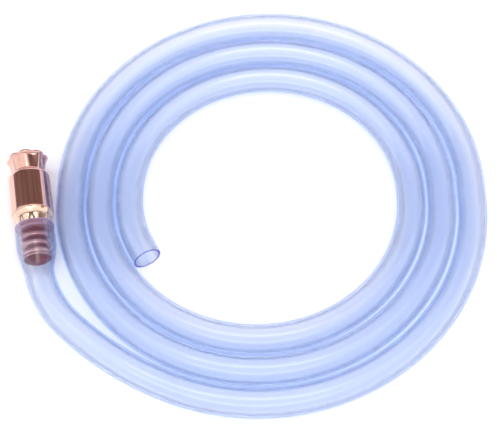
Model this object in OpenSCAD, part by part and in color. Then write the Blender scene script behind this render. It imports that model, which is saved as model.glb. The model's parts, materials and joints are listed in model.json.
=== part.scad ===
// Self-priming siphon: a coiled clear hose with a polished copper shaker valve.
// The coil lies flat on the floor, +Z up; the valve end points to +Y on the left.

/* [Hose] */
// Outside diameter of the hose
hose_od = 15.2; // [14:0.1:17]
// Wall thickness of the hose
hose_wall = 1.25; // [1:0.05:1.8]
// Centreline radius of the outermost turn
coil_radius = 114.5; // [105:0.5:140]
// Spacing of neighbouring turns on the left, above the hose diameter
left_gap = 0.25; // [0.15:0.05:1]
// Spacing on the right, above the hose diameter
right_gap = 0.9; // [0.15:0.05:1.5]
// Spacing on the near side, above the hose diameter
near_gap = 1.6; // [1:0.1:2]
// Spacing on the far side, above the hose diameter
far_gap = 3.0; // [1:0.1:3]
// Straight stretch on each side of the outermost turn, which makes the coil oval
side_straight = 10; // [9.5:0.5:20]

/* [Valve end of the hose] */
// Heading on the near arc where the liftable valve end starts
lead_heading = -19; // [-40:1:-10]
// Radius of the easy bend next to the coil
ease_radius = 157; // [130:1:180]
// Sweep of the easy bend
ease_angle = 25; // [20:1:30]
// Radius of the tighter bend next to the valve
bend_radius = 58; // [50:1:80]
// Sweep of the tighter bend
bend_angle = 36; // [25:1:36]
// Free straight hose before the valve's tail
free_straight = 3.5; // [3.5:0.5:12]

/* [Open end of the hose] */
// Sweep of the last full turn that lifts with the open end
outlet_sweep = 60; // [40:1:80]
// Straight run after the turn
outlet_run = 3; // [2:0.5:3]
// Radius of the last bend
outlet_bend_radius = 64; // [60:1:66]
// Sweep of the last bend
outlet_bend = 28; // [24:1:30]
// Straight stretch at the open end, a plain bore
outlet_bore_length = 8; // [6:0.5:10]

/* [Valve] */
// Outside diameter of the barrel
barrel_od = 22; // [21:0.1:22.2]
// Wall thickness of the barrel
barrel_wall = 1.2; // [1:0.1:1.6]
// Length of the barrel
barrel_length = 24.3; // [24.3:0.1:30]
// Radius of the barrel's necked-in shoulder
shoulder_radius = 2.8; // [2:0.1:2.8]
// Length of the crown that stands out of the barrel
crown_length = 11; // [10:0.5:12]
// Diameter of the crown's rolled lip
lip_od = 21.9; // [20.5:0.1:22]
// Number of flutes round the crown
flutes = 8; // [6:1:10]
// Depth of the end notches between the flutes
notch_depth = 0.8; // [0.5:0.1:1.5]
// Number of flats on the tail's collar
collar_flats = 10; // [8:2:12]
// Height of the flat-sided band on the collar
band_height = 2.8; // [2.5:0.1:4]
// Height of the tapering ring below the band
taper_height = 4.4; // [3:0.1:5]
// Length of the tail inside the hose
tail_length = 19.5; // [19.5:0.5:26]
// Diameter of the tail's ridges
ridge_od = 14.6; // [13.6:0.1:15]
// Bore of the tail
tail_bore = 11; // [9:0.1:11]
// Diameter of the check ball
ball_od = 14; // [13.6:0.1:14]
// Free travel of the ball between its seat and the stop pin
ball_travel = 4; // [3:0.5:4]
// Diameter of the stop pin
pin_od = 2; // [1.6:0.1:2.4]

/* [Hidden] */
hose_r = hose_od / 2;
bore_r = hose_r - hose_wall;
// Axial gap between the hose's separate lengths
cut_gap = 0.02;
// Where two stretches of one hose meet off the square, one laps the other by this much
// and is thicker by the step on both faces, so that they join as one solid
lap = 0.3;
lap_step = 0.02;
// Smoothness of the round parts
round_faces = 96;
arc_faces = 180;
tube_faces = 40;
round_steps = 12;
$fn = round_faces;

// Coil layout
left_pitch = hose_od + left_gap;
right_pitch = hose_od + right_gap;
side_pitch = (left_pitch + right_pitch) / 2;
near_step = hose_od + near_gap - side_pitch;
far_step = hose_od + far_gap - side_pitch;
turns = 3;

function near_radius(k) = coil_radius - k * side_pitch;
function far_radius(k) = near_radius(k) - left_pitch / 2;
function left_x(k) = -coil_radius + k * left_pitch;
function near_centre(k) = [left_x(k) + near_radius(k), -side_straight / 2 + k * near_step];
function far_centre(k) = [left_x(k + 1) + far_radius(k), side_straight / 2 - k * far_step];

// A left-turning arc: its points by heading, and its centre from one point
function arc_point(c, r, h) = c + r * [sin(h), -cos(h)];
function arc_centre(p, r, h) = p + r * [-sin(h), cos(h)];

// Points of a rounded stretch of an outline
function round_points(c, r, from, to) =
    [for (i = [0 : round_steps]) let (a = from + (to - from) * i / round_steps) c + r * [cos(a), sin(a)]];

// Box of the whole part, which puts the origin under its middle
lead_point = arc_point(near_centre(0), coil_radius, lead_heading);
ease_start = arc_point([0, ease_radius], ease_radius, -ease_angle);
bend_centre = arc_centre(ease_start, bend_radius, -ease_angle);
valve_turn = ease_angle + bend_angle;
bend_start = arc_point(bend_centre, bend_radius, -valve_turn);
backwards = [-cos(valve_turn), sin(valve_turn)];
tail_end = bend_start + free_straight * backwards;
collar_height = band_height + taper_height;
barrel_base = tail_length + collar_height;
valve_length = barrel_base + barrel_length + crown_length;

barrel_r = barrel_od / 2;
barrel_bore_r = barrel_r - barrel_wall;
lip_r = lip_od / 2;
lip_roll = 1.3;
floor_clearance = 0.15;
barrel_reach = -(tail_end + barrel_base * backwards)[0];
lead_tilt = asin((barrel_r + floor_clearance - hose_r) / barrel_reach);

lip_reach = tail_end + (valve_length - lip_roll) * backwards;
lip_x = lead_point[0] + lip_reach[0] * cos(lead_heading) - lip_reach[1] * sin(lead_heading);
low_x = lip_x - lip_r;
high_x = coil_radius + near_centre(0)[0] + hose_r;
low_y = near_centre(0)[1] - near_radius(0) - hose_r;
high_y = far_centre(0)[1] + far_radius(0) + hose_r;
middle = [round(5 * (low_x + high_x)) / 10, round(5 * (low_y + high_y)) / 10];

// Valve
ball_r = ball_od / 2;
seat_opening_r = 5.2;
seat_height = 2;
shell_gap = 0.01;
ball_gap = 0.03;
barrel_edge = 0.8;
ridge_r = ridge_od / 2;
ridge_depth = 1;
ridge_lead = 0.4;
ridge_flat = 1.4;
ridge_pitch = 4.8;
first_ridge = 1.6;
ridges = 3;
end_rim_height = 0.8;
mouth_r = ridge_r - 0.5;
mouth_depth = 1.5;
root_r = ridge_r - ridge_depth;
collar_r = barrel_r - 0.65;
collar_corner = 0.3;
sleeve_collar_r = hose_r + 1.45;
sleeve_wall = hose_wall - 0.1;
sleeve_r = sleeve_collar_r + sleeve_wall;
sleeve_collar_height = 3;
sleeve_neck = 3;
crown_spigot = 1.8;
neck_r = barrel_r - shoulder_radius;
crown_bore_r = 7;
crown_mouth_r = 8.6;
crown_base_r = 8.8;
flute_r = 2.6;
flute_depth = 0.9;
flute_slope = 10;
tail_spigot = 1.4;
pin_inset = 0.05;
seat_base = barrel_base + barrel_length - shoulder_radius - seat_height;
ball_rest = seat_base - seat_drop();
pin_z = ball_rest - ball_travel - ball_r - pin_od / 2 - ball_gap;

// Distance from the seat's face to the ball's centre when the ball rests on the seat's edge
function seat_drop() = sqrt(pow(ball_r + ball_gap, 2) - pow(seat_opening_r, 2));

module hose_section(r, step) {
    translate([r, 0]) difference() {
        circle(r = hose_r + step, $fn = tube_faces);
        circle(r = bore_r - step, $fn = tube_faces);
    }
}

// A length of hose along a left-turning arc
module hose_arc(centre, r, from_heading, sweep, step = 0) {
    translate([centre[0], centre[1], 0])
        rotate([0, 0, from_heading - 90])
            rotate_extrude(angle = sweep, $fn = arc_faces) hose_section(r, step);
}

// Sweep that covers a length along an arc
function sweep_of(length, r) = length / r * 180 / PI;

// A straight length of hose, forwards from a point
module hose_run(start, heading, length, back = 0, step = 0) {
    translate([start[0], start[1], 0])
        rotate([0, 0, heading]) rotate([0, 90, 0]) translate([0, 0, -back])
            linear_extrude(height = length + back) rotate(-90) hose_section(0, step);
}

// Everything that lies in the coil's own plane
module coil_place() {
    translate([-middle[0], -middle[1], hose_r]) children();
}

// Everything on the valve end: x runs forwards along the hose from the coil's cut,
// tipped up so that the thicker valve lies on the floor
module lead_place() {
    coil_place()
        translate([lead_point[0], lead_point[1], hose_r])
            rotate([0, 0, lead_heading]) rotate([0, lead_tilt, 0])
                translate([0, 0, -hose_r]) children();
}

// The valve's own frame: z runs from the tail's end to the crown
module valve_place() {
    lead_place()
        translate([tail_end[0], tail_end[1], 0])
            rotate([0, 0, 180 - valve_turn]) rotate([0, 90, 0]) children();
}

module ring(inner, outer, height) {
    difference() {
        cylinder(r = outer, h = height);
        translate([0, 0, -1]) cylinder(r = inner, h = height + 2);
    }
}

module right_side_run(k) {
    run = far_centre(k)[1] - near_centre(k)[1];
    hose_run([left_x(k) + 2 * near_radius(k), near_centre(k)[1]], 90, run);
}

module left_side_run(k) {
    run = far_centre(k)[1] - near_centre(k + 1)[1];
    hose_run([left_x(k + 1), far_centre(k)[1]], -90, run);
}

module hose_coil() {
    last = turns - 1;
    color("LightSteelBlue", 0.6) coil_place() {
        hose_arc(near_centre(0), near_radius(0), lead_heading,
                 90 - lead_heading + sweep_of(lap, near_radius(0)), lap_step);
        for (k = [0 : last]) right_side_run(k);
        for (k = [0 : last - 1]) {
            hose_arc(far_centre(k), far_radius(k), 90, 180);
            left_side_run(k);
            hose_arc(near_centre(k + 1), near_radius(k + 1), -90, 180);
        }
        hose_arc(far_centre(last), far_radius(last), 90, 180 - outlet_sweep);
    }
}

// The hose over the tail: stretched by the tail's collar, then easing to its own size
module hose_sleeve() {
    rotate([0, 0, 90]) rotate_extrude() polygon([
        [bore_r - lap_step, -free_straight - lap], [hose_r + lap_step, -free_straight - lap],
        [hose_r + lap_step, -sleeve_neck], [sleeve_r, sleeve_neck], [sleeve_r, tail_length],
        [sleeve_collar_r, tail_length], [sleeve_collar_r, sleeve_neck],
        [bore_r - lap_step, -sleeve_neck]]);
}

module hose_lead() {
    color("LightSteelBlue", 0.6) {
        lead_place() {
            hose_arc([0, ease_radius], ease_radius, -ease_angle - sweep_of(lap, ease_radius),
                     ease_angle + sweep_of(lap - cut_gap, ease_radius), lap_step);
            hose_arc(bend_centre, bend_radius, -valve_turn, bend_angle);
        }
        valve_place() hose_sleeve();
    }
}

module hose_outlet() {
    last = turns - 1;
    r = far_radius(last);
    turn_end = [left_x(turns), far_centre(last)[1]];
    run_end = turn_end - [0, outlet_run];
    bend_c = arc_centre(run_end, outlet_bend_radius, -90);
    bore_start = arc_point(bend_c, outlet_bend_radius, -90 + outlet_bend);
    gap_angle = sweep_of(cut_gap, r);
    color("LightSteelBlue", 0.6) coil_place() {
        hose_arc(far_centre(last), r, 270 - outlet_sweep + gap_angle,
                 outlet_sweep - gap_angle + sweep_of(lap, r), lap_step);
        hose_run(turn_end, -90, outlet_run);
        hose_arc(bend_c, outlet_bend_radius, -90, outlet_bend);
        hose_run(bore_start, -90 + outlet_bend, outlet_bore_length, lap, lap_step);
    }
}

// Tube with an eased lower edge and a shoulder necked in round the crown's spigot
module valve_barrel() {
    shoulder = [neck_r, barrel_length - shoulder_radius];
    color("DarkSalmon") valve_place()
        translate([0, 0, barrel_base]) rotate_extrude() polygon(concat(
            [[barrel_bore_r, 0]],
            round_points([barrel_r - barrel_edge, barrel_edge], barrel_edge, -90, 0),
            round_points(shoulder, shoulder_radius, 0, 90),
            round_points(shoulder, shoulder_radius - barrel_wall, 90, 0)));
}

// Flaring fluted cup: a spigot in the barrel's neck, a conical body and a rolled lip
module inlet_crown() {
    lip_centre = [lip_r - lip_roll, crown_length - lip_roll];
    color("DarkSalmon") valve_place() translate([0, 0, barrel_base + barrel_length]) difference() {
        rotate_extrude() polygon(concat(
            [[crown_bore_r, -crown_spigot], [neck_r - shell_gap, -crown_spigot],
             [neck_r - shell_gap, shell_gap], [crown_base_r, shell_gap]],
            round_points(lip_centre, lip_roll, -50, 90),
            [[crown_mouth_r, crown_length], [crown_bore_r, crown_length / 3]]));
        for (i = [0 : flutes - 1]) rotate([0, 0, (i + 0.5) * 360 / flutes]) {
            translate([lip_r + flute_r - flute_depth, 0, crown_length]) rotate([0, flute_slope, 0])
                translate([0, 0, 1 - crown_length]) cylinder(r = flute_r, h = crown_length);
            translate([crown_bore_r, 0, crown_length]) rotate([0, 90, 0])
                cylinder(r = notch_depth, h = lip_r, $fn = 32);
        }
    }
}

module seat_ring() {
    color("DimGray") valve_place()
        translate([0, 0, seat_base])
            ring(seat_opening_r, barrel_bore_r - shell_gap, seat_height - shell_gap);
}

module check_ball() {
    color("SkyBlue") valve_place() translate([0, 0, ball_rest]) sphere(r = ball_r);
}

module stop_pin() {
    reach = barrel_bore_r - pin_inset;
    color("Silver") valve_place()
        translate([-reach, 0, pin_z]) rotate([0, 90, 0]) cylinder(r = pin_od / 2, h = 2 * reach, $fn = 32);
}

// One ridge that grips the hose
module ridge() {
    top = ridge_lead + ridge_flat;
    rotate_extrude() polygon([[tail_bore / 2 + 0.3, 0], [ridge_r - ridge_lead, 0], [ridge_r, ridge_lead],
                              [ridge_r, top], [root_r, top + ridge_depth],
                              [tail_bore / 2 + 0.3, top + ridge_depth]]);
}

// Flat-sided band with rounded corners
module flat_band() {
    height = band_height - shell_gap;
    intersection() {
        cylinder(r = collar_r + collar_corner, h = height);
        cylinder(r = collar_r / cos(180 / collar_flats), h = height, $fn = collar_flats);
    }
}

// Tail insert: spigot in the barrel, flat-sided band, tapering ring, hose collar and ridges
module barbed_tail() {
    color("DarkSalmon") valve_place() difference() {
        union() {
            cylinder(r = root_r, h = tail_length);
            cylinder(r = ridge_r, h = end_rim_height);
            for (i = [0 : ridges - 1]) translate([0, 0, first_ridge + i * ridge_pitch]) ridge();
            translate([0, 0, tail_length - sleeve_collar_height])
                cylinder(r = sleeve_collar_r - shell_gap, h = sleeve_collar_height);
            translate([0, 0, tail_length])
                cylinder(r1 = sleeve_collar_r, r2 = collar_r - collar_corner, h = taper_height);
            translate([0, 0, tail_length + taper_height]) flat_band();
            translate([0, 0, tail_length + taper_height])
                cylinder(r = barrel_bore_r - shell_gap, h = band_height + tail_spigot);
        }
        translate([0, 0, -1]) cylinder(r = tail_bore / 2, h = barrel_base + tail_spigot + 2);
        cylinder(r1 = mouth_r, r2 = tail_bore / 2, h = mouth_depth);
    }
}

hose_coil();
hose_lead();
hose_outlet();
valve_barrel();
inlet_crown();
seat_ring();
check_ball();
stop_pin();
barbed_tail();
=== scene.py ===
"""A coiled clear siphon hose with a polished copper shaker valve, on a white floor."""
import json
import math

import bpy
import numpy as np
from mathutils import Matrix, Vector


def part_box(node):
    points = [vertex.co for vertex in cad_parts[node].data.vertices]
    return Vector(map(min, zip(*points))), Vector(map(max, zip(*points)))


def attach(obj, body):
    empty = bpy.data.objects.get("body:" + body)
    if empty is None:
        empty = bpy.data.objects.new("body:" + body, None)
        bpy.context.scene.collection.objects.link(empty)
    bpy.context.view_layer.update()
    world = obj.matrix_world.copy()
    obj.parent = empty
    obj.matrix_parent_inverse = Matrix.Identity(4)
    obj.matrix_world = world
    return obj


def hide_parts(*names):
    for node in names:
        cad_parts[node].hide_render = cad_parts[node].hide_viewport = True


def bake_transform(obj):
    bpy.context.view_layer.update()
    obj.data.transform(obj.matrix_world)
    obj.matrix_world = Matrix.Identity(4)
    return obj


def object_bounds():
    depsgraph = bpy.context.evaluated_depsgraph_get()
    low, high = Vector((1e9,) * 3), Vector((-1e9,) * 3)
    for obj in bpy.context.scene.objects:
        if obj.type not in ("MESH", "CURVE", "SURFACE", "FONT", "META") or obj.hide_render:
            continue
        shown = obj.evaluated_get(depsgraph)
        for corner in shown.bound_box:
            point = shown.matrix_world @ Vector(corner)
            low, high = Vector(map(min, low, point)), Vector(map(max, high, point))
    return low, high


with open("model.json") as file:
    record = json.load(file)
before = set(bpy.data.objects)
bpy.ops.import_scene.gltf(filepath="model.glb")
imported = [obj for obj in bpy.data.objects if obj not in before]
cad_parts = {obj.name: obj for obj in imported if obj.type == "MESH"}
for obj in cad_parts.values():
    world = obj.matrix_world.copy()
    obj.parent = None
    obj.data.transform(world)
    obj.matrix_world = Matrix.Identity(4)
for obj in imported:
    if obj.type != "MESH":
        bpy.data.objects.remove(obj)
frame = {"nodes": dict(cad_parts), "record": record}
cad_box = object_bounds()

MM = 0.001

# The hose's layout: the CAD part's own driving dimensions
HOSE_R = 7.6 * MM
BORE_R = 6.35 * MM
COIL_R = 114.5 * MM
LEFT_PITCH = 15.45 * MM
RIGHT_PITCH = 16.1 * MM
NEAR_PITCH = 16.8 * MM
FAR_PITCH = 18.2 * MM
SIDE_STRAIGHT = 10 * MM
TURNS = 3
LEAD_HEADING = -19
EASE = (157 * MM, 25)
BEND = (58 * MM, 36)
FREE_STRAIGHT = 3.5 * MM
TAIL_IN_HOSE = 19.5 * MM
OUTLET_SWEEP = 60
OUTLET_RUN = 3 * MM
OUTLET_BEND = (64 * MM, 28)
OUTLET_BORE = 8 * MM

# The hose where the tail stretches it
SLEEVE_R = 10.2 * MM
SLEEVE_WALL = 1.14 * MM
SLEEVE_END = 11 * MM
SLEEVE_NECK = 17 * MM
RIDGES = 3
RIDGE_PITCH = 4.8 * MM
FIRST_RIDGE = 1.6 * MM
RIDGE_MIDDLE = 1.1 * MM
RIDGE_SWELL = 0.1 * MM
RIDGE_SWELL_LENGTH = 0.9 * MM

# How finely the hose is drawn, and where its pieces meet and bend
HOSE_SIDES = 64
PATH_STEP = 0.5 * MM
RING_STEP = 1.9 * MM
FINE_STEP = 0.5 * MM
FINE_PAST_TAIL = 12 * MM
CUT_EASE = 0.12 * MM
TIP_EASE = 30 * MM
SEAM_AFTER_HINGE = 45 * MM


def smooth(t):
    """0 to 1 with a soft start and end."""
    t = np.clip(t, 0, 1)
    return t * t * (3 - 2 * t)


def joint(name):
    """The record's joint of that name."""
    return next(j for j in frame["record"]["behaviour"]["joints"] if j["name"] == name)


# ---------------------------------------------------------------- hose path

def hose_moves():
    """The hose's centreline as (radius, sweep) arcs to the left and (0, length) straights."""
    side_pitch = (LEFT_PITCH + RIGHT_PITCH) / 2
    near_step = NEAR_PITCH - side_pitch
    far_step = FAR_PITCH - side_pitch
    moves = [(0, TAIL_IN_HOSE + FREE_STRAIGHT), BEND, EASE]
    for k in range(TURNS):
        near_r = COIL_R - k * side_pitch
        far_r = near_r - LEFT_PITCH / 2
        near_y = -SIDE_STRAIGHT / 2 + k * near_step
        far_y = SIDE_STRAIGHT / 2 - k * far_step
        moves += [(near_r, 90 - LEAD_HEADING if k == 0 else 180), (0, far_y - near_y)]
        if k < TURNS - 1:
            moves += [(far_r, 180), (0, far_y - near_y - near_step)]
    outlet = [(far_r, 180 - OUTLET_SWEEP), (far_r, OUTLET_SWEEP), (0, OUTLET_RUN)]
    return moves + outlet + [OUTLET_BEND, (0, OUTLET_BORE)]


def trace(moves, heading, step):
    """Points, headings and arc lengths along the moves, and the arc length at each move's end."""
    point = np.zeros(2)
    points, headings, lengths, ends = [point], [heading], [0.0], []
    for radius, amount in moves:
        turn = math.radians(amount) if radius else 0.0
        length = radius * turn if radius else amount
        start, first, base = point, heading, lengths[-1]
        count = max(2, math.ceil(length / step))
        for i in range(1, count + 1):
            part = i / count
            heading = first + turn * part
            if radius:
                swing = [math.sin(heading) - math.sin(first), math.cos(first) - math.cos(heading)]
                point = start + radius * np.array(swing)
            else:
                point = start + amount * part * np.array([math.cos(first), math.sin(first)])
            points.append(point)
            headings.append(heading)
            lengths.append(base + length * part)
        ends.append(lengths[-1])
    return np.array(points), np.array(headings), np.array(lengths), ends


MOVES = hose_moves()
START = math.radians(LEAD_HEADING - EASE[1] - BEND[1])
POINTS, HEADINGS, LENGTHS, ENDS = trace(MOVES, START, PATH_STEP)
# arc lengths at the valve end's hinge, at the open end's hinge and at the open end
HINGE_S = ENDS[2]
OUTLET_S = ENDS[-5]
HOSE_END = ENDS[-1]

lead_joint = joint("lead_lift")
outlet_joint = joint("outlet_lift")
lead_pivot = np.array(lead_joint["pos_m"])
at_hinge = [np.interp(HINGE_S, LENGTHS, POINTS[:, i]) for i in (0, 1)]
POINTS = POINTS + (lead_pivot[:2] - at_hinge)
lead_forward = np.array([math.cos(math.radians(LEAD_HEADING)), math.sin(math.radians(LEAD_HEADING)), 0])


# ---------------------------------------------------------------- valve frame

# the valve's axis runs from the tail's end to the crown
valve_axis = -np.array(joint("ball_travel")["axis"])
ball_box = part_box("check_ball")
ball_centre = (np.array(ball_box[0]) + np.array(ball_box[1])) / 2


def axial_span(node):
    """How far a node reaches along the valve's axis, from the ball's centre."""
    coordinates = np.array([v.co for v in frame["nodes"][node].data.vertices])
    along = (coordinates - ball_centre) @ valve_axis
    return along.min(), along.max()


tail_low = axial_span("barbed_tail")[0]
TAIL_END = ball_centre + tail_low * valve_axis
BARREL_Z = [z - tail_low for z in axial_span("valve_barrel")]
CROWN_TOP = axial_span("inlet_crown")[1] - tail_low
SIDE = np.cross(valve_axis, [0, 0, 1])
SIDE = SIDE / np.linalg.norm(SIDE)
UP = np.cross(SIDE, valve_axis)


def lead_tilt():
    """How far the valve end is tipped up about its hinge, so that the thicker valve lies flat."""
    rel = TAIL_END - lead_pivot
    x, z = rel @ lead_forward, rel[2]
    reach = math.sqrt(x * x + z * z - HOSE_R ** 2)
    return math.atan2(HOSE_R, reach) - math.atan2(-z, -x)


TILT = lead_tilt()


# ---------------------------------------------------------------- mesh helpers

def make_object(name, vertices, faces, material, sharp):
    """A smooth-shaded mesh object, with its edges over `sharp` degrees kept crisp."""
    mesh = bpy.data.meshes.new(name)
    mesh.from_pydata([tuple(v) for v in vertices], [], faces)
    mesh.validate()
    mesh.shade_smooth()
    mesh.set_sharp_from_angle(angle=math.radians(sharp))
    mesh.materials.append(material)
    obj = bpy.data.objects.new(name, mesh)
    bpy.context.scene.collection.objects.link(obj)
    return obj


def grid_faces(rows, columns, offset=0, flip=False):
    """Quads of a grid of rows that close round their columns."""
    faces = []
    for i in range(rows - 1):
        for j in range(columns):
            a = offset + i * columns + j
            b = offset + i * columns + (j + 1) % columns
            quad = (a, b, b + columns, a + columns)
            faces.append(quad[::-1] if flip else quad)
    return faces


def lathe(name, rings, sides, material, sharp):
    """A closed solid of revolution about the valve's axis. A ring is (radius function, height
    function), each of the angle."""
    angles = np.arange(sides) * 2 * math.pi / sides
    vertices = []
    for radius, height in rings:
        for a in angles:
            r, z = radius(a), height(a)
            vertices.append(TAIL_END + z * valve_axis + r * (math.cos(a) * SIDE + math.sin(a) * UP))
    faces = grid_faces(len(rings), sides, 0, True)
    last = (len(rings) - 1) * sides
    faces += [(j, (j + 1) % sides, last + (j + 1) % sides, last + j) for j in range(sides)]
    return make_object(name, vertices, faces, material, sharp)


def arc_points(cx, cz, r, start, end, steps):
    """Points (radius, height) round an arc, in degrees from the outward direction."""
    return [(cx + r * math.cos(math.radians(a)), cz + r * math.sin(math.radians(a)))
            for a in np.linspace(start, end, steps)]


# ---------------------------------------------------------------- hose

def hose_outer(s):
    """Outside radius: stretched over the tail, with a faint swell over each ridge."""
    r = HOSE_R + (SLEEVE_R - HOSE_R) * (1 - smooth((s - SLEEVE_END) / SLEEVE_NECK))
    for i in range(RIDGES):
        at = TAIL_IN_HOSE - FIRST_RIDGE - i * RIDGE_PITCH - RIDGE_MIDDLE
        r = r + RIDGE_SWELL * math.exp(-((s - at) / RIDGE_SWELL_LENGTH) ** 2)
    return r


def hose_wall(s):
    """Wall thickness: thinner where the tail stretches it."""
    return SLEEVE_WALL + (HOSE_R - BORE_R - SLEEVE_WALL) * smooth((s - SLEEVE_END) / SLEEVE_NECK)


def tip_up(point, s):
    """Turns a point of the valve end about its hinge by the tilt, easing in from the hinge."""
    angle = TILT * float(smooth((HINGE_S - s) / TIP_EASE))
    if angle == 0:
        return point
    rel = point - lead_pivot
    x, z = rel @ lead_forward, rel[2]
    new_x = x * math.cos(angle) + z * math.sin(angle)
    new_z = -x * math.sin(angle) + z * math.cos(angle)
    return point + (new_x - x) * lead_forward + np.array([0, 0, new_z - z])


def hose_ring(s, radius):
    """Points round the hose at arc length s."""
    x, y, heading = (np.interp(s, LENGTHS, values) for values in (POINTS[:, 0], POINTS[:, 1], HEADINGS))
    centre = np.array([x, y, HOSE_R])
    right = np.array([math.sin(heading), -math.cos(heading), 0])
    ring = []
    for j in range(HOSE_SIDES):
        a = 2 * math.pi * j / HOSE_SIDES
        point = centre + radius * (math.cos(a) * right + math.sin(a) * np.array([0, 0, 1]))
        ring.append(tip_up(point, s))
    return ring


def hose_stations(first, last):
    """Arc lengths of the rings: fine over the tail, even elsewhere."""
    fine_until = min(last, TAIL_IN_HOSE + FINE_PAST_TAIL)
    stations = []
    if first < fine_until:
        count = math.ceil((fine_until - first) / FINE_STEP)
        stations = list(np.linspace(first, fine_until, count + 1)[:-1])
        first = fine_until
    count = math.ceil((last - first) / RING_STEP)
    return stations + list(np.linspace(first, last, count + 1))


def hose_length(name, first, last, material, start_cut=None, end_cut=None):
    """A stretch of hose with a real wall. An end with a cut's material is closed and its edges
    are eased; an end that goes on in the next piece stays open, and its rings meet that piece's."""
    stations = hose_stations(first, last)
    outer = [(s, hose_outer(s)) for s in stations]
    inner = [(s, hose_outer(s) - hose_wall(s)) for s in stations]
    if start_cut:
        outer = [(first, outer[0][1] - CUT_EASE), (first + CUT_EASE, outer[0][1])] + outer[1:]
        inner = [(first, inner[0][1] + CUT_EASE), (first + CUT_EASE, inner[0][1])] + inner[1:]
    if end_cut:
        outer = outer[:-1] + [(last - CUT_EASE, outer[-1][1]), (last, outer[-1][1] - CUT_EASE)]
        inner = inner[:-1] + [(last - CUT_EASE, inner[-1][1]), (last, inner[-1][1] + CUT_EASE)]
    vertices = []
    for s, r in outer + inner:
        vertices += hose_ring(s, r)
    rows = len(outer)
    inside = rows * HOSE_SIDES
    faces = grid_faces(rows, HOSE_SIDES, 0, True) + grid_faces(rows, HOSE_SIDES, inside)
    for j in range(HOSE_SIDES):
        k = (j + 1) % HOSE_SIDES
        if start_cut:
            faces.append((j, k, inside + k, inside + j))
        if end_cut:
            end = (rows - 1) * HOSE_SIDES
            faces.append((end + j, end + inside + j, end + inside + k, end + k))
    obj = make_object(name, vertices, faces, material, sharp=40)
    if start_cut or end_cut:
        obj.data.materials.append(start_cut or end_cut)
        walls = 2 * (rows - 1) * HOSE_SIDES
        for polygon in list(obj.data.polygons)[walls:]:
            polygon.material_index = 1
    return obj


# ---------------------------------------------------------------- valve

BARREL_R = 11 * MM
BARREL_WALL = 1.2 * MM
BARREL_SIDES = 160
SHOULDER = 2.8 * MM
SOFT_EDGE = 0.5 * MM
BORE_CHAMFER = (0.2 * MM, 0.3 * MM)
NECK_R = BARREL_R - SHOULDER
# what keeps the faces of two pieces out of one plane
FIT = 0.01 * MM

TAIL_BORE_R = 5.5 * MM
TAIL_SIDES = 240
MOUTH_R = 6.9 * MM
MOUTH_DEPTH = 1.5 * MM
MOUTH_EDGE = 0.1 * MM
RIM_END = 1 * MM
ROOT_R = 6.3 * MM
RIDGE_R = 7.3 * MM
HOSE_COLLAR_R = 9.04 * MM
HOSE_COLLAR = 3 * MM
COLLAR_LEAD = 0.3 * MM
TAPER = 4.4 * MM
BAND_R = 10.35 * MM
BAND_FLATS = 10
BAND_FLAT_R = 0.965
TAIL_SPIGOT = 1.4 * MM

CROWN_BASE_R = 8.8 * MM
CROWN_BORE_R = 7 * MM
CROWN_MOUTH_R = 8.5 * MM
CROWN_SPIGOT = 1.8 * MM
CROWN_SIDES = 256
FOOT_EDGE = 0.5 * MM
FLARE_START = (0.25 * MM, 1.15 * MM)
CUP_FLOOR = 3 * MM
LIP_R = 10.95 * MM
LIP_ROLL = 1.1 * MM
UNDER_LIP = (0.85 * MM, 2.5 * MM)
FLUTES = 8
FLUTE_DEPTH = 1.0 * MM
FLUTE_AT_FOOT = 0.25
FLUTE_AT_LIP = 0.8
NOTCH_DEPTH = 0.5 * MM

# Outlines in millimetres: (outward from a radius, along the tail, how flat-sided)
END_RIM = ((-0.2, 0, 0), (0, 0.2, 0), (0, 0.6, 0), (-0.2, 0.8, 0))
RIDGE = ((0, -0.1, 0), (0.7, 0, 0), (0.92, 0.12, 0), (1, 0.4, 0), (1, 1.7, 0), (0.92, 1.95, 0),
         (0.7, 2.1, 0), (0.1, 2.4, 0), (0, 2.7, 0))
COLLAR = ((-0.8, 0, 0), (0, 0.6, 0), (0, 3, 0), (0, 3.2, 0.3), (0.1, 3.6, 1))
BAND = ((-0.55, -0.75, 1), (-0.75, -0.45, 0.6), (-0.75, -0.1, 0.6), (-0.4, 0.05, 1), (-0.25, 0.3, 1))
UNDER_BARREL = ((0.5, -0.2, 1), (0.3, -0.02, 0.5))


def barrel(material):
    """Tube with an eased lower edge and a shoulder drawn in round the crown."""
    low, high = BARREL_Z
    shoulder = (NECK_R, high - SHOULDER)
    bore = BARREL_R - BARREL_WALL
    outline = [(bore, low + BORE_CHAMFER[1]), (bore + BORE_CHAMFER[0], low)]
    outline += arc_points(BARREL_R - SOFT_EDGE, low + SOFT_EDGE, SOFT_EDGE, -85, 0, 7)
    outline += [(BARREL_R, z) for z in np.linspace(low + 2 * MM, shoulder[1] - 1 * MM, 6)]
    outline += arc_points(*shoulder, SHOULDER, 0, 90, 16)
    outline += arc_points(*shoulder, SHOULDER - BARREL_WALL, 90, 0, 8)
    rings = [((lambda a, r=r: r), (lambda a, z=z: z)) for r, z in outline]
    return lathe("barrel_tube", rings, BARREL_SIDES, material, sharp=32)


def flute(a):
    """1 in the middle of a flute, 0 on the ridge between two."""
    return 1 - abs(math.cos(FLUTES / 2 * a)) ** 1.3


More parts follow.
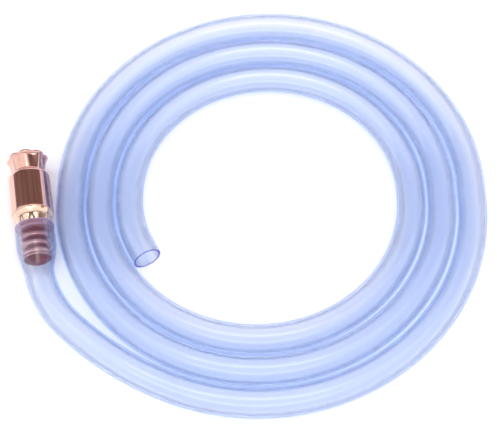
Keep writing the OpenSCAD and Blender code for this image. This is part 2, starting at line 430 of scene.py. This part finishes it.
def crown(material):
    """A fluted cup: eased foot ring, flaring sides and a rolled, notched lip."""
    base = BARREL_Z[1]
    flare = np.array([CROWN_BASE_R - FLARE_START[0], base + FLARE_START[1]])
    under_lip = np.array([LIP_R - UNDER_LIP[0], CROWN_TOP - UNDER_LIP[1]])
    foot = arc_points(CROWN_BASE_R - 0.3 * MM, base + FOOT_EDGE, FOOT_EDGE, -60, 70, 7)
    lip = arc_points(LIP_R - LIP_ROLL, CROWN_TOP - LIP_ROLL, LIP_ROLL, -75, 95, 16)
    outline = [(CROWN_BORE_R, base - CROWN_SPIGOT, 0), (NECK_R - FIT, base - CROWN_SPIGOT, 0),
               (NECK_R - FIT, base + FIT, 0), (CROWN_BASE_R - 0.2 * MM, base + FIT, 0)]
    outline += [(r, z, 0) for r, z in foot]
    for t in np.linspace(0, 1, 10):
        outline.append((*(flare + (under_lip - flare) * t), FLUTE_AT_FOOT + (1 - FLUTE_AT_FOOT) * t))
    outline += [(r, z, FLUTE_AT_LIP) for r, z in lip]
    outline += [(CROWN_MOUTH_R, CROWN_TOP - 0.5 * MM, 0), (CROWN_BORE_R, base + CUP_FLOOR, 0)]
    rings = []
    for r, z, depth in outline:
        def radius(a, r=r, depth=depth):
            return r - FLUTE_DEPTH * depth * flute(a)

        def height(a, z=z):
            near_lip = smooth((z - under_lip[1]) / (LIP_ROLL * 2))
            return z - NOTCH_DEPTH * near_lip * flute(a) ** 2
        rings.append((radius, height))
    return lathe("crown_ring", rings, CROWN_SIDES, material, sharp=40)


def flat_sided(a, r):
    """Radius of a polygon with eased corners, as high across its flats as it can be inside r."""
    half = math.pi / BAND_FLATS
    from_middle = a % (2 * half) - half
    return min(r, BAND_FLAT_R * r / math.cos(from_middle))


def placed(profile, r, z):
    """A profile in millimetres, moved out to radius r and along to z."""
    return [(r + out * MM, z + along * MM, flat) for out, along, flat in profile]


# the tail's materials after the polished one: inside the hose, its grooves and its bore, the last two
# dark with painted shade in those hollows, and how far from the root's radius the last two reach
IN_HOSE, SHADED_GROOVES, SHADED_BORE = 1, 2, 3
GROOVE_MARGIN = 0.2 * MM
BORE_MARGIN = 0.3 * MM


def tail(*materials):
    """Ridged tail with a flared mouth, the hose collar, a tapering ring and a flat-sided band."""
    barrel_low = BARREL_Z[0]
    barrel_bore = BARREL_R - BARREL_WALL - FIT
    outline = [(TAIL_BORE_R, MOUTH_DEPTH, 0), (MOUTH_R, MOUTH_EDGE, 0)]
    outline += placed(END_RIM, RIDGE_R, 0)
    outline.append((ROOT_R, RIM_END, 0))
    for i in range(RIDGES):
        outline += placed(RIDGE, ROOT_R, FIRST_RIDGE + i * RIDGE_PITCH)
    outline.append((ROOT_R, TAIL_IN_HOSE - HOSE_COLLAR - COLLAR_LEAD, 0))
    outline += placed(COLLAR, HOSE_COLLAR_R, TAIL_IN_HOSE - HOSE_COLLAR)
    outline += placed(BAND, BAND_R, TAIL_IN_HOSE + TAPER)
    outline += placed(UNDER_BARREL, BAND_R, barrel_low)
    outline += [(barrel_bore, barrel_low - 2 * FIT, 0), (barrel_bore, barrel_low + TAIL_SPIGOT, 0),
                (TAIL_BORE_R, barrel_low + TAIL_SPIGOT, 0)]
    rings = []
    for r, z, flat in outline:
        rings.append(((lambda a, r=r, flat=flat: r - flat * (r - flat_sided(a, r))), (lambda a, z=z: z)))
    obj = lathe("ridged_tail", rings, TAIL_SIDES, materials[0], sharp=26)
    for material in materials[1:]:
        obj.data.materials.append(material)
    # painted shade: faces at or under the root's radius, in the grooves and the bore, get dark copper that
    # stands in for the shade there
    for polygon in obj.data.polygons:
        place = np.array(polygon.center) - TAIL_END
        radius = np.linalg.norm(np.cross(place, valve_axis))
        if radius < ROOT_R - BORE_MARGIN:
            polygon.material_index = SHADED_BORE
        elif radius < ROOT_R + GROOVE_MARGIN:
            polygon.material_index = SHADED_GROOVES
        elif place @ valve_axis < TAIL_IN_HOSE:
            polygon.material_index = IN_HOSE
    return obj


# ---------------------------------------------------------------- materials

# Clear PVC: tints seen face on and edge on, tints that the rim lets through, by how edge-on it is,
# and the share of light that a wall's surface lets through to what lies behind
PVC_FACE = (0.96, 0.968, 0.995)
# partly painted shade: edge on, the tints turn a deeper blue and at the outline a violet-grey, standing in
# for the dark bands between turns and the dark outline; the rest is the deeper colour of a longer path
# through the wall
PVC_EDGE_TINT_AND_SHADE = (0.80, 0.86, 1.0)
PVC_RIM_TINT_AND_SHADE = ((0.0, (0.96, 0.965, 1.0)), (0.6, (0.80, 0.87, 1.0)),
           (0.85, (0.70, 0.78, 1.0)), (1.0, (0.62, 0.60, 0.74)))
RIM_POWER = 1.5
RIM_WEIGHT = 1.3
PVC_SHADOW = (0.835, 0.88, 0.965, 1)


def node_material(name):
    """A new node material, with its nodes, its links and its surface shader."""
    material = bpy.data.materials.new(name)
    material.use_nodes = True
    nodes = material.node_tree.nodes
    return material, nodes, material.node_tree.links, nodes["Principled BSDF"]


def add(nodes, kind, **inputs):
    """A node with its plain settings and its inputs' values."""
    node = nodes.new(kind)
    for key, value in inputs.items():
        if hasattr(node, key):
            setattr(node, key, value)
        else:
            node.inputs[key.replace("_", " ")].default_value = value
    return node


def tone(nodes, links, amount, first, second):
    """A colour between two, by an amount from another node. Either may come from a node as well."""
    mix = add(nodes, "ShaderNodeMix", data_type="RGBA")
    links.new(amount, mix.inputs[0])
    for colour, socket in ((first, mix.inputs[6]), (second, mix.inputs[7])):
        if isinstance(colour, tuple):
            socket.default_value = (*colour, 1)
        else:
            links.new(colour, socket)
    return mix.outputs[2]


def ramp_node(nodes, stops):
    """A colour ramp through (place, colour) stops."""
    ramp = add(nodes, "ShaderNodeValToRGB")
    elements = ramp.color_ramp.elements
    while len(elements) < len(stops):
        elements.new(0.5)
    for element, (place, colour) in zip(elements, stops):
        element.position = place
        element.color = (*colour, 1)
    return ramp


def clear_pvc():
    """Clear, faintly blue PVC: bluer at its edges, partly from a longer path through the wall and partly as
    painted shade, smooth, with slow waviness along the hose.
    """
    material, nodes, links, surface = node_material("clear_pvc")
    facing = add(nodes, "ShaderNodeLayerWeight", Blend=0.5)
    edge = add(nodes, "ShaderNodeMath", operation="POWER")
    edge.inputs[1].default_value = RIM_POWER
    links.new(facing.outputs["Facing"], edge.inputs[0])
    links.new(tone(nodes, links, edge.outputs[0], PVC_FACE, PVC_EDGE_TINT_AND_SHADE), surface.inputs["Base Color"])
    surface.inputs["Transmission Weight"].default_value = 1
    surface.inputs["IOR"].default_value = 1.5
    place = add(nodes, "ShaderNodeTexCoord")
    haze = add(nodes, "ShaderNodeTexNoise", Scale=60.0, Detail=3.0)
    polish = add(nodes, "ShaderNodeMapRange", To_Min=0.04, To_Max=0.09)
    wave = add(nodes, "ShaderNodeTexNoise", Scale=35.0, Detail=1.0)
    bump = add(nodes, "ShaderNodeBump", Strength=0.08, Distance=0.0004)
    links.new(place.outputs["Object"], haze.inputs["Vector"])
    links.new(place.outputs["Object"], wave.inputs["Vector"])
    links.new(haze.outputs["Fac"], polish.inputs["Value"])
    links.new(polish.outputs["Result"], surface.inputs["Roughness"])
    links.new(wave.outputs["Fac"], bump.inputs["Height"])
    links.new(bump.outputs["Normal"], surface.inputs["Normal"])
    with_rim = rim_over(nodes, links, surface, facing, edge)
    links.new(lit_through(nodes, links, with_rim), nodes["Material Output"].inputs["Surface"])
    return material


def rim_over(nodes, links, surface, facing, edge):
    """The surface with a tinted, see-through rim where it turns away from the eye, darkest at the outline
    as painted shade.
    """
    colour = ramp_node(nodes, PVC_RIM_TINT_AND_SHADE)
    glass = add(nodes, "ShaderNodeBsdfTransparent")
    amount = add(nodes, "ShaderNodeMath", operation="MULTIPLY", use_clamp=True)
    amount.inputs[1].default_value = RIM_WEIGHT
    mix = add(nodes, "ShaderNodeMixShader")
    links.new(facing.outputs["Facing"], colour.inputs[0])
    links.new(colour.outputs["Color"], glass.inputs["Color"])
    links.new(edge.outputs[0], amount.inputs[0])
    links.new(amount.outputs[0], mix.inputs[0])
    links.new(surface.outputs["BSDF"], mix.inputs[1])
    links.new(glass.outputs["BSDF"], mix.inputs[2])
    return mix


def lit_through(nodes, links, shader):
    """A shader that lets soft light and shadows through as plain tinted film does."""
    path = add(nodes, "ShaderNodeLightPath")
    film = add(nodes, "ShaderNodeBsdfTransparent", Color=PVC_SHADOW)
    soft_light = add(nodes, "ShaderNodeMath", operation="MAXIMUM")
    mix = add(nodes, "ShaderNodeMixShader")
    links.new(path.outputs["Is Shadow Ray"], soft_light.inputs[0])
    links.new(path.outputs["Is Diffuse Ray"], soft_light.inputs[1])
    links.new(soft_light.outputs[0], mix.inputs[0])
    links.new(shader.outputs["Shader"], mix.inputs[1])
    links.new(film.outputs["BSDF"], mix.inputs[2])
    return mix.outputs["Shader"]


def cut_edge(name, dark, light):
    """A cut face of the wall, where the plastic's own indigo shows along its length."""
    material, nodes, links, surface = node_material(name)
    grain = add(nodes, "ShaderNodeTexNoise", Scale=900.0, Detail=2.0)
    surface.inputs["Roughness"].default_value = 0.3
    links.new(tone(nodes, links, grain.outputs["Fac"], dark, light), surface.inputs["Base Color"])
    return material


def copper(name, colour, roughness, lines, metallic=1.0):
    """Polished copper: fine turning lines round the valve's axis, soft blotches of tone."""
    material, nodes, links, surface = node_material(name)
    surface.inputs["Metallic"].default_value = metallic
    place = add(nodes, "ShaderNodeTexCoord")
    along = add(nodes, "ShaderNodeVectorMath", operation="DOT_PRODUCT")
    along.inputs[1].default_value = tuple(valve_axis)
    stretched = add(nodes, "ShaderNodeCombineXYZ")
    turning = add(nodes, "ShaderNodeTexNoise", Scale=2600.0, Detail=2.0)
    bump = add(nodes, "ShaderNodeBump", Strength=lines, Distance=0.0001)
    blotch = add(nodes, "ShaderNodeTexNoise", Scale=140.0, Detail=4.0)
    darker = tuple(c * 0.86 for c in colour)
    polish = add(nodes, "ShaderNodeMapRange", To_Min=roughness * 0.7, To_Max=roughness * 1.5)
    links.new(place.outputs["Object"], along.inputs[0])
    links.new(along.outputs["Value"], stretched.inputs[0])
    links.new(stretched.outputs["Vector"], turning.inputs["Vector"])
    links.new(turning.outputs["Fac"], bump.inputs["Height"])
    links.new(bump.outputs["Normal"], surface.inputs["Normal"])
    links.new(place.outputs["Object"], blotch.inputs["Vector"])
    links.new(tone(nodes, links, blotch.outputs["Fac"], colour, darker), surface.inputs["Base Color"])
    links.new(blotch.outputs["Fac"], polish.inputs["Value"])
    links.new(polish.outputs["Result"], surface.inputs["Roughness"])
    return material


def seal_rubber():
    """Black rubber with a fine grain."""
    material, nodes, links, surface = node_material("seal_rubber_worn")
    grain = add(nodes, "ShaderNodeTexNoise", Scale=900.0, Detail=5.0)
    black = tone(nodes, links, grain.outputs["Fac"], (0.02, 0.02, 0.022), (0.06, 0.058, 0.06))
    bump = add(nodes, "ShaderNodeBump", Strength=0.3, Distance=0.0001)
    surface.inputs["Roughness"].default_value = 0.6
    links.new(black, surface.inputs["Base Color"])
    links.new(grain.outputs["Fac"], bump.inputs["Height"])
    links.new(bump.outputs["Normal"], surface.inputs["Normal"])
    return material


def ball_glass():
    """Pale green glass with a faint swirl."""
    material, nodes, links, surface = node_material("ball_glass_green")
    swirl = add(nodes, "ShaderNodeTexNoise", Scale=120.0, Detail=2.0, Distortion=2.0)
    green = tone(nodes, links, swirl.outputs["Fac"], (0.75, 0.9, 0.88), (0.5, 0.78, 0.8))
    surface.inputs["Transmission Weight"].default_value = 0.9
    surface.inputs["Roughness"].default_value = 0.05
    links.new(green, surface.inputs["Base Color"])
    return material


def pin_steel():
    """Drawn steel with an uneven polish."""
    material, nodes, links, surface = node_material("pin_steel_drawn")
    surface.inputs["Metallic"].default_value = 1
    surface.inputs["Base Color"].default_value = (0.62, 0.62, 0.64, 1)
    lines = add(nodes, "ShaderNodeTexNoise", Scale=700.0, Detail=3.0)
    rough = add(nodes, "ShaderNodeMapRange", To_Min=0.2, To_Max=0.4)
    links.new(lines.outputs["Fac"], rough.inputs["Value"])
    links.new(rough.outputs["Result"], surface.inputs["Roughness"])
    return material


def set_material(node, material):
    """Gives a CAD node one material in all its slots."""
    for slot in frame["nodes"][node].material_slots:
        slot.material = material


# ---------------------------------------------------------------- build

pvc = clear_pvc()
open_cut = cut_edge("clear_pvc_cut", (0.07, 0.05, 0.42), (0.16, 0.13, 0.62))
valve_cut = cut_edge("clear_pvc_valve_cut", (0.32, 0.24, 0.50), (0.62, 0.56, 0.80))
rose_copper = copper("rose_copper", (0.90, 0.54, 0.455), 0.10, 0.05)
gold_copper = copper("gold_copper", (0.98, 0.72, 0.55), 0.14, 0.08)
dull_copper = copper("dull_copper", (0.77, 0.43, 0.44), 0.2, 0.08, metallic=0.65)
# painted shade: dark maroon copper for the grooves and the bore, standing in for the shade deep in them
painted_shade_groove_copper = copper("painted_shade_groove_copper", (0.19, 0.045, 0.07), 0.35, 0.08, metallic=0.2)
painted_shade_bore_copper = copper("painted_shade_bore_copper", (0.36, 0.005, 0.08), 0.4, 0.08, metallic=0.0)

seam_a = HINGE_S + SEAM_AFTER_HINGE
seam_b = OUTLET_S - SEAM_AFTER_HINGE
valve_run = hose_length("hose_valve_run", 0, seam_a, pvc, start_cut=valve_cut)
middle_run = hose_length("hose_turns", seam_a, seam_b, pvc)
open_run = hose_length("hose_open_run", seam_b, HOSE_END, pvc, end_cut=open_cut)
outlet_pivot = np.array(outlet_joint["pos_m"])
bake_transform(valve_run)
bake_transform(open_run)
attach(middle_run, "coil")
for piece, node in ((valve_run, "hose_lead"), (middle_run, "hose_coil"), (open_run, "hose_outlet")):
    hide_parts(node)

for piece, node in ((barrel(rose_copper), "valve_barrel"), (crown(rose_copper), "inlet_crown"),
                    (tail(gold_copper, dull_copper, painted_shade_groove_copper, painted_shade_bore_copper), "barbed_tail")):
    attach(piece, "lead")
    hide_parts(node)

set_material("seat_ring", seal_rubber())
set_material("check_ball", ball_glass())
set_material("stop_pin", pin_steel())


# ---------------------------------------------------------------- studio

FLOOR_SIZE = 6.0
FLOOR_GAP = 0.2 * MM
CAMERA_TARGET = (0.0016, -0.011, HOSE_R)
CAMERA_ELEVATION = 60
CAMERA_DISTANCE = 0.66
LENS = 90.5
BOX_PLACE = (0, 0.02, 1.3)
BOX_SIZE = (0.55, 0.4)
BOX_POWER = 1.1
HORIZON = (0.50, 0.56, 0.92)
ZENITH = (1.0, 1.0, 1.0)
WORLD_STRENGTH = 1.15
WORLD_FILL = 1.75
# the canopy's left and right sides by angle from straight up, its near and far ends by Y, its
# edges' softness, and its tones
CANOPY_LEFT = math.radians(-88)
CANOPY_RIGHT = math.radians(66)
CANOPY_NEAR = 0.28
CANOPY_FAR = 0.85
CANOPY_SOFT = 0.08
CANOPY_COLOUR = (0.225, 0.16, 0.155)
CANOPY_SHADE = (0.12, 0.085, 0.075)


def floor():
    """A plain white floor just under the part."""
    half = FLOOR_SIZE / 2
    corners = [(-half, -half, 0), (half, -half, 0), (half, half, 0), (-half, half, 0)]
    mesh = bpy.data.meshes.new("studio_floor")
    mesh.from_pydata(corners, [], [(0, 1, 2, 3)])
    obj = bpy.data.objects.new("studio_floor", mesh)
    bpy.context.scene.collection.objects.link(obj)
    obj.location.z = cad_box[0][2] - FLOOR_GAP
    material, nodes, links, surface = node_material("studio_white")
    surface.inputs["Base Color"].default_value = (0.96, 0.96, 0.97, 1)
    surface.inputs["Roughness"].default_value = 0.9
    surface.inputs["Specular IOR Level"].default_value = 0
    mesh.materials.append(material)


def softbox():
    """A dim soft light overhead that draws the streaks along the hose."""
    light = bpy.data.lights.new("top_box", "AREA")
    light.shape = "RECTANGLE"
    light.size, light.size_y = BOX_SIZE
    light.energy = BOX_POWER
    obj = bpy.data.objects.new("top_box", light)
    obj.location = BOX_PLACE
    obj.rotation_euler = (-Vector(BOX_PLACE)).to_track_quat("-Z", "Y").to_euler()
    bpy.context.scene.collection.objects.link(obj)


def canopy_cover(nodes, links, split):
    """1 under the canopy and 0 outside it, from the direction that is looked in."""
    around = add(nodes, "ShaderNodeMath", operation="ARCTAN2")
    links.new(split.outputs["X"], around.inputs[0])
    links.new(split.outputs["Z"], around.inputs[1])
    edges = ((around.outputs[0], CANOPY_LEFT, CANOPY_SOFT), (around.outputs[0], CANOPY_RIGHT, -CANOPY_SOFT),
             (split.outputs["Y"], CANOPY_NEAR, CANOPY_SOFT), (split.outputs["Y"], CANOPY_FAR, -CANOPY_SOFT))
    cover = None
    for source, edge, width in edges:
        step = add(nodes, "ShaderNodeMapRange", From_Min=edge - width / 2, From_Max=edge + width / 2)
        links.new(source, step.inputs["Value"])
        if cover:
            both = add(nodes, "ShaderNodeMath", operation="MULTIPLY")
            links.new(cover, both.inputs[0])
            links.new(step.outputs["Result"], both.inputs[1])
            cover = both.outputs[0]
        else:
            cover = step.outputs["Result"]
    return cover


def world_light():
    """White above a blue horizon, with a dark, uneven canopy that polished metal reflects."""
    world = bpy.data.worlds.new("studio_world")
    bpy.context.scene.world = world
    world.use_nodes = True
    nodes, links = world.node_tree.nodes, world.node_tree.links
    background = nodes["Background"]
    place = add(nodes, "ShaderNodeTexCoord")
    split = add(nodes, "ShaderNodeSeparateXYZ")
    height = add(nodes, "ShaderNodeMapRange", From_Min=0.0, From_Max=0.35)
    links.new(place.outputs["Generated"], split.inputs[0])
    links.new(split.outputs["Z"], height.inputs["Value"])
    sky = tone(nodes, links, height.outputs["Result"], HORIZON, ZENITH)
    cloth = add(nodes, "ShaderNodeTexNoise", Scale=7.0, Detail=6.0, Distortion=1.5)
    uneven = add(nodes, "ShaderNodeMapRange", From_Min=0.38, From_Max=0.58)
    links.new(place.outputs["Generated"], cloth.inputs["Vector"])
    links.new(cloth.outputs["Fac"], uneven.inputs["Value"])
    canopy = tone(nodes, links, uneven.outputs["Result"], CANOPY_SHADE, CANOPY_COLOUR)
    all_round = tone(nodes, links, canopy_cover(nodes, links, split), sky, canopy)
    links.new(all_round, background.inputs["Color"])
    # soft light on dull surfaces is stronger than what mirrors show
    path = add(nodes, "ShaderNodeLightPath")
    strength = add(nodes, "ShaderNodeMapRange", To_Min=WORLD_STRENGTH, To_Max=WORLD_FILL)
    links.new(path.outputs["Is Diffuse Ray"], strength.inputs["Value"])
    links.new(strength.outputs["Result"], background.inputs["Strength"])


def camera():
    """Looks down at the coil from the near side."""
    target = Vector(CAMERA_TARGET)
    elevation = math.radians(CAMERA_ELEVATION)
    data = bpy.data.cameras.new("camera")
    data.lens = LENS
    data.sensor_width = 36
    obj = bpy.data.objects.new("camera", data)
    obj.location = target + CAMERA_DISTANCE * Vector((0, -math.cos(elevation), math.sin(elevation)))
    obj.rotation_euler = (target - obj.location).to_track_quat("-Z", "Y").to_euler()
    bpy.context.scene.collection.objects.link(obj)
    bpy.context.scene.camera = obj


floor()
world_light()
softbox()
camera()
bpy.context.scene.view_settings.view_transform = "Standard"
